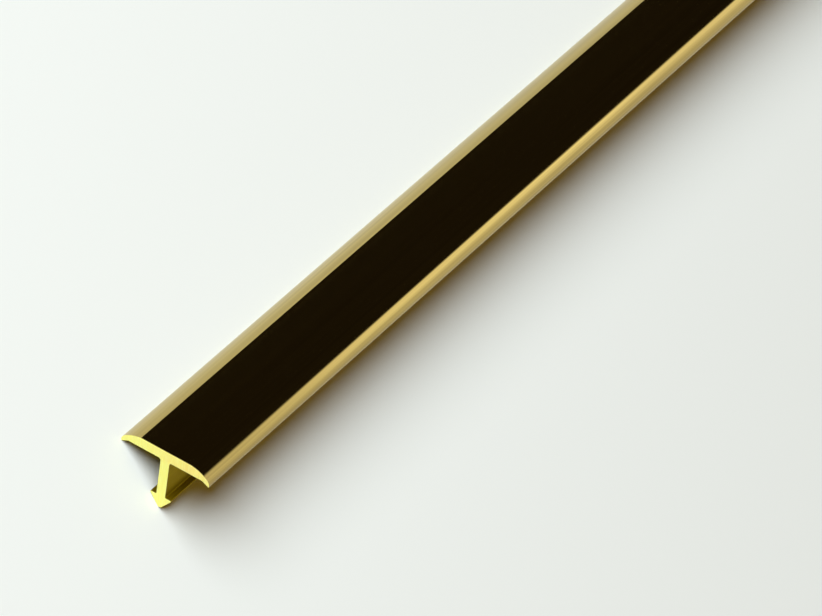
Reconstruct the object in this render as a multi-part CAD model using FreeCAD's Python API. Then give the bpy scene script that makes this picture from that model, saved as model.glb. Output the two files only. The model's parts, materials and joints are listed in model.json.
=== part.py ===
import FreeCAD, Part
import math
import os

# A brass T section for the joint between two floor coverings: one drawn bar, cut square at both ends.
# It is drawn upright across the YZ plane with its flat top at Z = 0 and pushed out along X.
# Then it is leant over onto one edge of its head and its foot, the way it stays on a level floor.

# Driving dimensions in millimetres
strip_length = 900.0      # one length of stock
head_width = 26.0         # across both flanges
flat_width = 14.7         # the level middle of the head
head_thickness = 2.95     # flat top to the underside of the head
edge_drop = 3.65          # flat top to the widest point of the rounded outer edge
edge_radius = 2.2         # rounding of the outer edge, on top
edge_chamfer = 0.25       # small chamfer below the widest point
flank_start_angle = 7.0   # slope of the flank where it leaves the flat, in degrees
lip_width = 2.1           # the strip along each edge that hangs below the underside
overall_height = 18.0     # flat top to the foot
stem_thickness = 2.6
root_radius = 0.6         # fillet between the stem and the head
barb_span = 6.0           # across the two barbs
barb_tip_height = 0.4     # the blunt outer face of a barb
foot_to_barb = 3.3        # foot to the lower corner of a barb
barb_root_radius = 0.3    # fillet between the stem and a barb's level shoulder
foot_flat = 0.8           # blunt end of the foot

half_head = head_width / 2.0
half_flat = flat_width / 2.0
half_stem = stem_thickness / 2.0
half_barb = barb_span / 2.0
half_foot = foot_flat / 2.0
barb_low_z = -overall_height + foot_to_barb
shoulder_z = barb_low_z + barb_tip_height


def section_point(side, y, z):
    """A point of the section; side is 1 for the +Y half and -1 for its mirror image."""
    return FreeCAD.Vector(0.0, side * y, z)


def line(side, start, end):
    return Part.makeLine(section_point(side, *start), section_point(side, *end))


def arc(side, centre, radius, first_angle, last_angle):
    """Arc about a centre; an angle is measured from straight up towards the flange's edge."""
    points = []
    for angle in (first_angle, 0.5 * (first_angle + last_angle), last_angle):
        y = centre[0] + radius * math.sin(angle)
        z = centre[1] + radius * math.cos(angle)
        points.append(section_point(side, y, z))
    return Part.Arc(*points).toShape()


def flank_circle(edge_centre):
    """Circle of the flank: it leaves the flat at its starting slope and runs smoothly into the edge."""
    slope = math.radians(flank_start_angle)
    across = half_flat - edge_centre[0]
    up = -edge_centre[1]
    reach = across * math.sin(slope) + up * math.cos(slope)
    radius = (across ** 2 + up ** 2 - edge_radius ** 2) / (2.0 * (reach - edge_radius))
    centre = (half_flat - radius * math.sin(slope), -radius * math.cos(slope))
    return centre, radius


def half_outline(side):
    """Edges of one half of the section, from the middle of the top round to the middle of the foot."""
    edge_centre = (half_head - edge_radius, -edge_drop)
    flank_centre, flank_radius = flank_circle(edge_centre)
    joint_angle = math.atan2(edge_centre[0] - flank_centre[0], edge_centre[1] - flank_centre[1])
    edge_bottom = (half_head - edge_chamfer, -edge_drop - edge_chamfer)
    lip_inside = (half_head - lip_width, -head_thickness)
    root_on_head = (half_stem + root_radius, -head_thickness)
    root_on_stem = (half_stem, -head_thickness - root_radius)
    root_centre = (half_stem + root_radius, -head_thickness - root_radius)
    barb_root_centre = (half_stem + barb_root_radius, shoulder_z + barb_root_radius)
    root_on_shoulder = (half_stem + barb_root_radius, shoulder_z)
    barb_high = (half_barb, shoulder_z)
    barb_low = (half_barb, barb_low_z)
    foot_corner = (half_foot, -overall_height)
    return [
        line(side, (0.0, 0.0), (half_flat, 0.0)),
        arc(side, flank_centre, flank_radius, math.radians(flank_start_angle), joint_angle),
        arc(side, edge_centre, edge_radius, joint_angle, math.radians(90.0)),
        line(side, (half_head, -edge_drop), edge_bottom),
        line(side, edge_bottom, lip_inside),
        line(side, lip_inside, root_on_head),
        arc(side, root_centre, root_radius, 0.0, math.radians(-90.0)),
        line(side, root_on_stem, (half_stem, shoulder_z + barb_root_radius)),
        arc(side, barb_root_centre, barb_root_radius, math.radians(-90.0), math.radians(-180.0)),
        line(side, root_on_shoulder, barb_high),
        line(side, barb_high, barb_low),
        line(side, barb_low, foot_corner),
        line(side, foot_corner, (0.0, -overall_height)),
    ]


def lowest(points, lean):
    """Height of the lowest of some section points once the strip is leant towards -Y."""
    return min(p.y * math.sin(lean) + p.z * math.cos(lean) for p in points)


def resting_lean(outline):
    """Lean that brings the -Y edge of the head and the lower end of the stem to one level."""
    points = outline.discretize(Deflection=0.001)
    edge_points = [p for p in points if p.y < -half_flat]
    stem_points = [p for p in points if p.z < -edge_drop - edge_chamfer - root_radius]
    too_upright = 0.0
    too_flat = math.radians(90.0)
    for _ in range(50):
        lean = 0.5 * (too_upright + too_flat)
        if lowest(edge_points, lean) > lowest(stem_points, lean):
            too_upright = lean
        else:
            too_flat = lean
    return math.degrees(lean)


edges = half_outline(1.0) + half_outline(-1.0)
outline = Part.Wire(Part.sortEdges(edges)[0])
strip = Part.Face(outline).extrude(FreeCAD.Vector(strip_length, 0.0, 0.0)).removeSplitter()

# Lean the head towards -Y, then put the strip on the floor with its middle over the origin.
lean = resting_lean(outline)
strip.rotate(FreeCAD.Vector(0.0, 0.0, 0.0), FreeCAD.Vector(1.0, 0.0, 0.0), lean)
box = strip.optimalBoundingBox(False)
strip.translate(FreeCAD.Vector(-box.Center.x, -box.Center.y, -box.ZMin))

os.makedirs("parts", exist_ok=True)
strip.exportStep("parts/divider_strip.step")

box = strip.optimalBoundingBox(False)
print("solids", len(strip.Solids), "faces", len(strip.Faces), "valid", strip.isValid())
print("volume", round(strip.Volume, 1), "lean", round(lean, 3))
print("size", round(box.XLength, 3), round(box.YLength, 3), round(box.ZLength, 3))
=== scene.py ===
import json
import math

import bmesh
import bpy
from mathutils import Matrix, Vector


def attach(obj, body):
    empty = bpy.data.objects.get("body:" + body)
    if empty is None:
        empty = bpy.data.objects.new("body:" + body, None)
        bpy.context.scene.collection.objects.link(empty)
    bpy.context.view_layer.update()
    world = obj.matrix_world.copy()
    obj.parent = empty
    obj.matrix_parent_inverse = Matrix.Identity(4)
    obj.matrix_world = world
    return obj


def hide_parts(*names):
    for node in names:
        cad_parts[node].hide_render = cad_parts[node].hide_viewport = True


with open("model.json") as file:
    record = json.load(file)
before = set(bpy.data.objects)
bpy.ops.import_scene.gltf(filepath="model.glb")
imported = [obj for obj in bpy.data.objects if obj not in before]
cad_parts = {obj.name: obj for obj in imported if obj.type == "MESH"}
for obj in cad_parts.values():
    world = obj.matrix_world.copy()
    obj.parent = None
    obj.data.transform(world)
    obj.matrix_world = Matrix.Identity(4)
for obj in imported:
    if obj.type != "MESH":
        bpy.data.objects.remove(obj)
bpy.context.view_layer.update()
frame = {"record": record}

MM = 0.001

# ---------------------------------------------------------------- sizes of the drawn brass section
STRIP_LENGTH = 900.0 * MM
HEAD_WIDTH = 26.0 * MM
FLAT_WIDTH = 14.7 * MM
HEAD_THICKNESS = 2.95 * MM
EDGE_DROP = 3.65 * MM
EDGE_RADIUS = 2.2 * MM
EDGE_CHAMFER = 0.25 * MM
FLANK_START = math.radians(7.0)
LIP_WIDTH = 2.1 * MM
OVERALL_HEIGHT = 18.0 * MM
STEM_THICKNESS = 2.6 * MM
ROOT_RADIUS = 0.6 * MM
BARB_SPAN = 6.0 * MM
BARB_TIP_HEIGHT = 0.4 * MM
FOOT_TO_BARB = 3.3 * MM
BARB_ROOT_RADIUS = 0.3 * MM
FOOT_FLAT = 0.8 * MM
CORNER_BREAK = 0.07 * MM     # the soft corner that drawing and polishing leave
SHARP_CORNER = math.radians(20.0)    # a corner turned further than this gets the soft break
SMOOTH_UP_TO = math.radians(12.0)    # faces that meet at less than this are shaded as one curve
POINTS_ALONG = 0.9           # a face whose normal runs along the bar more than this is a cut end
BUFFED, DRAWN, SAWN = 0, 1, 2        # the order of the strip's finishes

# ---------------------------------------------------------------- where the strip lies
mounts = {m["name"]: m for m in frame["record"]["mounts"]}
underside = mounts["underside_plus_y"]
head_up = -Vector(underside["axis"]).normalized()
along = Vector((1.0, 0.0, 0.0))
across = head_up.cross(along)
strip_turn = Matrix((along, across, head_up)).transposed()
underside_middle = 0.5 * (HEAD_WIDTH / 2 - LIP_WIDTH + STEM_THICKNESS / 2 + ROOT_RADIUS)
from_crown = Vector((0.0, underside_middle, -HEAD_THICKNESS))
crown_middle = Vector(underside["pos_m"]) - strip_turn @ from_crown


def in_room(x, y, z):
    """A place given along, across and above the flat of the head, as a place in the room."""
    return crown_middle + strip_turn @ Vector((x, y, z))


# ---------------------------------------------------------------- small helpers
def linear(hex_colour):
    """sRGB hex to the linear colour that the shaders take, by the sRGB standard's own curve."""
    values = []
    for start in (1, 3, 5):
        v = int(hex_colour[start:start + 2], 16) / 255
        values.append(v / 12.92 if v <= 0.04045 else ((v + 0.055) / 1.055) ** 2.4)
    return (*values, 1.0)


def add(tree, kind, settings=None, links=None):
    """Adds a node. Settings are its properties or input values; links are input: output socket."""
    node = tree.nodes.new(kind)
    for name, value in (settings or {}).items():
        if isinstance(name, int) or name in node.inputs:
            node.inputs[name].default_value = value
        else:
            setattr(node, name, value)
    for name, socket in (links or {}).items():
        tree.links.new(socket, node.inputs[name])
    return node


def new_material(name):
    material = bpy.data.materials.new(name)
    material.use_nodes = True
    material.node_tree.nodes.clear()
    return material, material.node_tree


def ramp(tree, source, stops):
    """A colour ramp through (position, colour) stops."""
    node = add(tree, "ShaderNodeValToRGB", links={"Fac": source})
    elements = node.color_ramp.elements
    while len(elements) < len(stops):
        elements.new(0.5)
    for element, (position, colour) in zip(elements, stops):
        element.position = position
        element.color = colour
    return node


# ---------------------------------------------------------------- the strip
def arc(bm, vert, centre, turn, steps):
    """Carries an outline on from a vertex, round a centre (y, z). Returns the last vertex."""
    made = bmesh.ops.spin(
        bm, geom=[vert], cent=(0.0, *centre), axis=(1.0, 0.0, 0.0), angle=turn, steps=steps,
        use_duplicate=False,
    )
    return next(g for g in made["geom_last"] if isinstance(g, bmesh.types.BMVert))


def straight(bm, vert, y, z):
    """Carries an outline on in a straight line. Returns the new vertex."""
    end = bm.verts.new((0.0, y, z))
    bm.edges.new((vert, end))
    return end


def drawn_section(bm):
    """One half of the outline, from the middle of the flat round to the middle of the foot."""
    half_head, half_flat = HEAD_WIDTH / 2, FLAT_WIDTH / 2
    half_stem, half_barb = STEM_THICKNESS / 2, BARB_SPAN / 2
    flank_steps, edge_steps, root_steps, barb_root_steps = 24, 20, 8, 6
    quarter = math.radians(90.0)
    edge_centre = (half_head - EDGE_RADIUS, -EDGE_DROP)
    across_gap, up_gap = half_flat - edge_centre[0], -edge_centre[1]
    reach = across_gap * math.sin(FLANK_START) + up_gap * math.cos(FLANK_START)
    gap_squared = across_gap ** 2 + up_gap ** 2
    flank_radius = (gap_squared - EDGE_RADIUS ** 2) / (2 * (reach - EDGE_RADIUS))
    flank_centre = (
        half_flat - flank_radius * math.sin(FLANK_START), -flank_radius * math.cos(FLANK_START)
    )
    joint = math.atan2(edge_centre[0] - flank_centre[0], edge_centre[1] - flank_centre[1])
    barb_low = -OVERALL_HEIGHT + FOOT_TO_BARB
    shoulder = barb_low + BARB_TIP_HEIGHT

    v = bm.verts.new((0.0, 0.0, 0.0))
    v = straight(bm, v, half_flat, 0.0)
    v = arc(bm, v, flank_centre, FLANK_START - joint, flank_steps)
    v = arc(bm, v, edge_centre, joint - quarter, edge_steps)
    v = straight(bm, v, half_head - EDGE_CHAMFER, -EDGE_DROP - EDGE_CHAMFER)
    v = straight(bm, v, half_head - LIP_WIDTH, -HEAD_THICKNESS)
    v = straight(bm, v, half_stem + ROOT_RADIUS, -HEAD_THICKNESS)
    root_centre = (half_stem + ROOT_RADIUS, -HEAD_THICKNESS - ROOT_RADIUS)
    v = arc(bm, v, root_centre, quarter, root_steps)
    v = straight(bm, v, half_stem, shoulder + BARB_ROOT_RADIUS)
    barb_root_centre = (half_stem + BARB_ROOT_RADIUS, shoulder + BARB_ROOT_RADIUS)
    v = arc(bm, v, barb_root_centre, quarter, barb_root_steps)
    v = straight(bm, v, half_barb, shoulder)
    v = straight(bm, v, half_barb, barb_low)
    v = straight(bm, v, FOOT_FLAT / 2, -OVERALL_HEIGHT)
    straight(bm, v, 0.0, -OVERALL_HEIGHT)


def make_strip():
    """The bar: half an outline, mirrored, filled, pushed out to length and given soft corners."""
    bm = bmesh.new()
    drawn_section(bm)
    touching = 1e-7    # metres: points closer than this are one point
    bmesh.ops.mirror(bm, geom=bm.verts[:] + bm.edges[:], axis="Y", merge_dist=touching)
    bmesh.ops.remove_doubles(bm, verts=bm.verts[:], dist=touching)
    bmesh.ops.translate(bm, verts=bm.verts[:], vec=(-STRIP_LENGTH / 2, 0.0, 0.0))
    section = bmesh.ops.contextual_create(bm, geom=bm.edges[:])["faces"]
    pushed = bmesh.ops.extrude_face_region(bm, geom=section, use_keep_orig=True)["geom"]
    far_verts = [g for g in pushed if isinstance(g, bmesh.types.BMVert)]
    bmesh.ops.translate(bm, verts=far_verts, vec=(STRIP_LENGTH, 0.0, 0.0))
    bmesh.ops.recalc_face_normals(bm, faces=bm.faces[:])
    sharp = [e for e in bm.edges if e.is_manifold and e.calc_face_angle() > SHARP_CORNER]
    bmesh.ops.bevel(
        bm, geom=sharp, offset=CORNER_BREAK, offset_type="OFFSET", affect="EDGES", segments=2,
        profile=0.5, material=-1, clamp_overlap=True,
    )
    wheel_reach = -EDGE_DROP - EDGE_CHAMFER / 2    # the buffing wheel goes no lower than this
    wheel_tilt = -0.3                              # nor on faces that look further down than this
    for face in bm.faces:
        is_cut_end = abs(face.normal.x) > POINTS_ALONG
        if is_cut_end:
            face.material_index = SAWN
        elif face.calc_center_median().z > wheel_reach and face.normal.z > wheel_tilt:
            face.material_index = BUFFED
        else:
            face.material_index = DRAWN
        face.smooth = not is_cut_end
    bmesh.ops.triangulate(bm, faces=[f for f in bm.faces if len(f.verts) > 4])
    bmesh.ops.rotate(bm, verts=bm.verts[:], cent=(0.0, 0.0, 0.0), matrix=strip_turn)
    bmesh.ops.translate(bm, verts=bm.verts[:], vec=crown_middle)
    mesh = bpy.data.meshes.new("polished_strip")
    bm.to_mesh(mesh)
    bm.free()
    mesh.set_sharp_from_angle(angle=SMOOTH_UP_TO)
    strip = bpy.data.objects.new("polished_strip", mesh)
    bpy.context.collection.objects.link(strip)
    return strip


# ---------------------------------------------------------------- brass finishes
def section_axes(tree):
    """Object coordinates as the bar's own, in metres: along, across the head, up from its flat."""
    coords = add(tree, "ShaderNodeTexCoord")
    place = add(tree, "ShaderNodeVectorMath", {"operation": "SUBTRACT", 1: crown_middle},
                {0: coords.outputs["Object"]})
    parts = []
    for axis in (along, across, head_up):
        dot = add(tree, "ShaderNodeVectorMath", {"operation": "DOT_PRODUCT", 1: axis},
                  {0: place.outputs[0]})
        parts.append(dot.outputs["Value"])
    joined = add(tree, "ShaderNodeCombineXYZ", links={0: parts[0], 1: parts[1], 2: parts[2]})
    return joined.outputs[0]


def polished_brass():
    """Cold drawn brass, mirror buffed along its length: a clear reflection with faint long lines.

    A film of clear lacquer keeps it bright. It turns the metal paler where it is seen edge on.
    """
    material, tree = new_material("buffed_brass")
    axes = section_axes(tree)
    # Real hairlines are far finer. These are as coarse as they need to be to show.
    line_pitch = 0.6 * MM
    run = 0.004    # one over how many times a line is longer than it is wide
    stretch = add(tree, "ShaderNodeMapping",
                  {"Scale": (run / line_pitch, 1 / line_pitch, 1 / line_pitch)}, {"Vector": axes})
    noise = add(tree, "ShaderNodeTexNoise", {"Scale": 1.0, "Detail": 3.0},
                {"Vector": stretch.outputs[0]})
    lines = noise.outputs["Fac"]
    tint = ramp(tree, lines, [(0.3, linear("#AC9241")), (0.7, linear("#C5AB54"))])
    gloss = add(tree, "ShaderNodeMapRange", {"To Min": 0.05, "To Max": 0.09}, {"Value": lines})
    grooves = add(tree, "ShaderNodeBump", {"Strength": 0.05, "Distance": 0.01 * MM},
                  {"Height": lines})
    shader = add(tree, "ShaderNodeBsdfPrincipled",
                 {"Metallic": 1.0, "Coat Weight": 1.0, "Coat Roughness": 0.05},
                 {"Base Color": tint.outputs["Color"], "Roughness": gloss.outputs[0],
                  "Normal": grooves.outputs[0]})
    add(tree, "ShaderNodeOutputMaterial", links={"Surface": shader.outputs[0]})
    return material


def drawn_brass_painted_shade():
    """The same bar where the buffing wheel doesn't reach: dull, with die lines along it. Its dark
    olive is painted shade, darker than the metal itself, for the head's shade over the stem, barbs
    and underside.
    """
    material, tree = new_material("drawn_brass_painted_shade")
    axes = section_axes(tree)
    # Real die lines are finer. These are as coarse as they need to be to show.
    line_pitch = 0.5 * MM
    run = 0.01    # one over how many times a line is longer than it is wide
    stretch = add(tree, "ShaderNodeMapping",
                  {"Scale": (run / line_pitch, 1 / line_pitch, 1 / line_pitch)}, {"Vector": axes})
    noise = add(tree, "ShaderNodeTexNoise", {"Scale": 1.0, "Detail": 4.0},
                {"Vector": stretch.outputs[0]})
    lines = noise.outputs["Fac"]
    # painted shade: these die-line colours are a dark olive that stands for the shade under the
    # head; the metal itself is a lighter, paler brass
    tint = ramp(tree, lines, [(0.3, linear("#867008")), (0.7, linear("#988212"))])
    grooves = add(tree, "ShaderNodeBump", {"Strength": 0.2, "Distance": 0.02 * MM},
                  {"Height": lines})
    shader = add(tree, "ShaderNodeBsdfPrincipled",
                 {"Metallic": 0.8, "Roughness": 0.5, "Specular Tint": linear("#FFEA90")},
                 {"Base Color": tint.outputs["Color"], "Normal": grooves.outputs[0]})
    add(tree, "ShaderNodeOutputMaterial", links={"Surface": shader.outputs[0]})
    return material


def sawn_brass():
    """The fresh cut: bright yellow metal, matt from the saw's fine parallel marks.

    It drifts from lemon to a darker, warmer gold towards the head's +Y side. That gold is painted
    shade, for the head's cut being less lit on that side than the stem and the head's -Y side.
    """
    material, tree = new_material("sawn_brass")
    axes = section_axes(tree)
    # Real saw marks are finer. These are as coarse as they need to be to show.
    mark_pitch = 0.45 * MM
    run, saw_slant = 0.15, 0.35    # one over a mark's length to width, and its slant in radians
    drift_size = 5.0 * MM
    marks_place = add(tree, "ShaderNodeMapping",
                      {"Scale": (1 / mark_pitch, 1 / mark_pitch, run / mark_pitch),
                       "Rotation": (saw_slant, 0.0, 0.0)}, {"Vector": axes})
    marks = add(tree, "ShaderNodeTexNoise", {"Scale": 1.0, "Detail": 5.0},
                {"Vector": marks_place.outputs[0]})
    # painted shade: a darker gold over the head's cut, growing towards its +Y side and mottled by a
    # slow noise
    drift = add(tree, "ShaderNodeTexNoise", {"Scale": 1 / drift_size, "Detail": 1.0},
                {"Vector": axes})
    place = add(tree, "ShaderNodeSeparateXYZ", links={0: axes})
    on_head = add(tree, "ShaderNodeMapRange", {"From Min": -4.5 * MM, "From Max": -2.5 * MM},
                  {"Value": place.outputs["Z"]})
    right_side = add(tree, "ShaderNodeMapRange", {"From Min": -6.0 * MM, "From Max": 7.0 * MM},
                     {"Value": place.outputs["Y"]})
    right_head = add(tree, "ShaderNodeMath", {"operation": "MULTIPLY"},
                     {0: on_head.outputs[0], 1: right_side.outputs[0]})
    painted_shade_amount = add(tree, "ShaderNodeMapRange", {"From Min": 0.0, "From Max": 0.7},
                 {"Value": drift.outputs["Fac"], "To Max": right_head.outputs[0]})
    scratches = marks.outputs["Fac"]
    lemon = ramp(tree, scratches, [(0.3, linear("#FFF87E")), (0.7, linear("#FFFD98"))])
    # painted shade: the darker gold laid on the head's +Y side of the cut
    painted_shade_gold = ramp(tree, scratches, [(0.3, linear("#FBDF74")), (0.7, linear("#FFEC90"))])
    # A Mix node has a set of sockets for each kind of value: 6 and 7 are its colours, 2 its result.
    tint = add(tree, "ShaderNodeMix", {"data_type": "RGBA"},
               {0: painted_shade_amount.outputs[0], 6: lemon.outputs["Color"], 7: painted_shade_gold.outputs["Color"]})
    grooves = add(tree, "ShaderNodeBump", {"Strength": 0.35, "Distance": 0.03 * MM},
                  {"Height": scratches})
    shader = add(tree, "ShaderNodeBsdfPrincipled", {"Metallic": 0.5, "Roughness": 0.5},
                 {"Base Color": tint.outputs[2], "Normal": grooves.outputs[0]})
    add(tree, "ShaderNodeOutputMaterial", links={"Surface": shader.outputs[0]})
    return material


strip = make_strip()
for finish in (polished_brass(), drawn_brass_painted_shade(), sawn_brass()):
    strip.data.materials.append(finish)
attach(strip, "root")
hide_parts("divider_strip")


# ---------------------------------------------------------------- the studio
def lay_floor():
    """A wide sheet of white paper."""
    half_width = 6.0
    bm = bmesh.new()
    bmesh.ops.create_grid(bm, x_segments=1, y_segments=1, size=half_width)
    mesh = bpy.data.meshes.new("paper_floor")
    bm.to_mesh(mesh)
    bm.free()
    floor = bpy.data.objects.new("paper_floor", mesh)
    bpy.context.collection.objects.link(floor)
    material, tree = new_material("white_paper")
    shader = add(tree, "ShaderNodeBsdfDiffuse", {"Color": linear("#F0F5F6")})
    add(tree, "ShaderNodeOutputMaterial", links={"Surface": shader.outputs[0]})
    mesh.materials.append(material)


def pitch_tent():
    """The tent a studio stands over polished metal. Only reflections see it.

    It is a white half round with a black cloth along its far -Y side. The cloth's soft hem climbs
    towards the near end, and at the far end the white is brighter just above it, like a window.
    """
    radius, length, round_steps = 0.8, 5.0, 96
    hem_far_x, hem_near_x = -0.90, 0.15
    hem_far, hem_near = math.radians(-28.9), math.radians(-11.0)
    hem_starts, hem_ends = math.radians(-4.5), math.radians(3.5)    # how far the hem is blurred
    cloth_ends_x, clear_of_cloth_x = -0.08, 0.10
    wall_low, wall_high = math.radians(-10.0), math.radians(80.0)
    wall_bright, wall_dim = 0.93, 0.66
    window_height, window_falloff = math.radians(32.0), 2.5
    window_starts_x, window_full_x, window_bright = -0.21, -0.36, 0.95

    bm = bmesh.new()
    start = bm.verts.new((-length / 2, -radius, 0.0))
    bmesh.ops.spin(bm, geom=[start], cent=(0.0, 0.0, 0.0), axis=(1.0, 0.0, 0.0),
                   angle=math.radians(-180.0), steps=round_steps, use_duplicate=False)
    pushed = bmesh.ops.extrude_edge_only(bm, edges=bm.edges[:])["geom"]
    far_verts = [g for g in pushed if isinstance(g, bmesh.types.BMVert)]
    bmesh.ops.translate(bm, verts=far_verts, vec=(length, 0.0, 0.0))
    mesh = bpy.data.meshes.new("studio_tent")
    bm.to_mesh(mesh)
    bm.free()
    tent = bpy.data.objects.new("studio_tent", mesh)
    bpy.context.collection.objects.link(tent)
    tent.visible_camera = False
    tent.visible_diffuse = False
    tent.visible_shadow = False

    material, tree = new_material("tent_cloth")
    coords = add(tree, "ShaderNodeTexCoord")
    place = add(tree, "ShaderNodeSeparateXYZ", links={0: coords.outputs["Object"]})
    x = place.outputs["X"]
    round_tent = add(tree, "ShaderNodeMath", {"operation": "ARCTAN2"},
                     {0: place.outputs["Y"], 1: place.outputs["Z"]})
    hem = add(tree, "ShaderNodeMapRange",
              {"From Min": hem_far_x, "From Max": hem_near_x,
               "To Min": hem_far, "To Max": hem_near}, {"Value": x})
    past_hem = add(tree, "ShaderNodeMath", {"operation": "SUBTRACT"},
                   {0: round_tent.outputs[0], 1: hem.outputs[0]})
    above = add(tree, "ShaderNodeMapRange",
                {"From Min": hem_starts, "From Max": hem_ends, "interpolation_type": "SMOOTHSTEP"},
                {"Value": past_hem.outputs[0]})
    beside = add(tree, "ShaderNodeMapRange",
                 {"From Min": cloth_ends_x, "From Max": clear_of_cloth_x,
                  "interpolation_type": "SMOOTHSTEP"}, {"Value": x})
    off_cloth = add(tree, "ShaderNodeMath", {"operation": "MAXIMUM"},
                    {0: above.outputs[0], 1: beside.outputs[0]})
    wall = add(tree, "ShaderNodeMapRange",
               {"From Min": wall_low, "From Max": wall_high, "To Min": wall_bright,
                "To Max": wall_dim}, {"Value": round_tent.outputs[0]})
    away = add(tree, "ShaderNodeMapRange",
               {"From Min": 0.0, "From Max": window_height, "To Min": 1.0, "To Max": 0.0},
               {"Value": past_hem.outputs[0]})
    window_up = add(tree, "ShaderNodeMath", {"operation": "POWER", 1: window_falloff},
                    {0: away.outputs[0]})
    window_along = add(tree, "ShaderNodeMapRange",
                       {"From Min": window_starts_x, "From Max": window_full_x,
                        "To Max": window_bright, "interpolation_type": "SMOOTHSTEP"}, {"Value": x})
    brightness = add(tree, "ShaderNodeMath", {"operation": "MULTIPLY_ADD"},
                     {0: window_up.outputs[0], 1: window_along.outputs[0], 2: wall.outputs[0]})
    black = add(tree, "ShaderNodeEmission", {"Color": linear("#221D16"), "Strength": 1.0})
    white = add(tree, "ShaderNodeEmission", {"Color": linear("#FFFFFF")},
                {"Strength": brightness.outputs[0]})
    mixed = add(tree, "ShaderNodeMixShader",
                links={0: off_cloth.outputs[0], 1: black.outputs[0], 2: white.outputs[0]})
    add(tree, "ShaderNodeOutputMaterial", links={"Surface": mixed.outputs[0]})
    mesh.materials.append(material)


def light_room():
    """White all round to the eye and in the metal, a low warm fill, and one large soft key."""
    fill_strength = 0.12
    key_size, key_energy, key_distance = 2.35, 137.0, 3.0
    key_direction = Vector((0.38, -0.65, 0.69)).normalized()
    aim_from_end = 100.0 * MM
    world = bpy.data.worlds.new("white_studio")
    bpy.context.scene.world = world
    world.use_nodes = True
    tree = world.node_tree
    tree.nodes.clear()
    path = add(tree, "ShaderNodeLightPath")
    seen = add(tree, "ShaderNodeMath", {"operation": "MAXIMUM"},
               {0: path.outputs["Is Camera Ray"], 1: path.outputs["Is Glossy Ray"]})
    seen = add(tree, "ShaderNodeMath", {"operation": "MAXIMUM"},
               {0: seen.outputs[0], 1: path.outputs["Is Transmission Ray"]})
    fill = add(tree, "ShaderNodeBackground",
               {"Color": linear("#FFC050"), "Strength": fill_strength})
    white = add(tree, "ShaderNodeBackground", {"Color": linear("#FFFFFF"), "Strength": 1.0})
    mixed = add(tree, "ShaderNodeMixShader",
                links={0: seen.outputs[0], 1: fill.outputs[0], 2: white.outputs[0]})
    add(tree, "ShaderNodeOutputWorld", links={"Surface": mixed.outputs[0]})

    key = bpy.data.lights.new("soft_key", "AREA")
    key.shape = "DISK"
    key.size = key_size
    key.energy = key_energy
    key.color = linear("#F9FFFF")[:3]
    key_light = bpy.data.objects.new("soft_key", key)
    target = in_room(STRIP_LENGTH / 2 - aim_from_end, 0.0, 0.0)
    key_light.location = target + key_direction * key_distance
    key_light.rotation_mode = "QUATERNION"
    key_light.rotation_quaternion = (key_light.location - target).to_track_quat("Z", "Y")
    key_light.visible_glossy = False
    bpy.context.collection.objects.link(key_light)


def place_camera():
    """A long lens over the near end, turned off the strip's run and well above its flat."""
    turn, above, roll = math.radians(27.51), math.radians(40.05), math.radians(-9.25)
    aim_from_end, aim_across, distance = 83.8 * MM, 15.2 * MM, 1410.4 * MM
    level = math.cos(above)
    back = Vector((level * math.cos(turn), level * math.sin(turn), math.sin(above)))
    level_up = (Vector((0.0, 0.0, 1.0)) - back.z * back).normalized()
    level_right = level_up.cross(back)
    up = level_up * math.cos(roll) + level_right * math.sin(roll)
    right = up.cross(back)
    target = Vector((STRIP_LENGTH / 2 - aim_from_end, aim_across, 0.0))
    place = target + back * distance
    camera_data = bpy.data.cameras.new("camera")
    camera_data.sensor_width = 36.0
    camera_data.lens = 249.1
    camera_data.clip_start = 0.05
    camera_data.clip_end = 50.0
    camera = bpy.data.objects.new("camera", camera_data)
    rotation = strip_turn @ Matrix((right, up, back)).transposed()
    camera.matrix_world = Matrix.Translation(in_room(*place)) @ rotation.to_4x4()
    bpy.context.collection.objects.link(camera)
    bpy.context.scene.camera = camera


lay_floor()
pitch_tent()
light_room()
place_camera()
bpy.context.scene.view_settings.view_transform = "Standard"
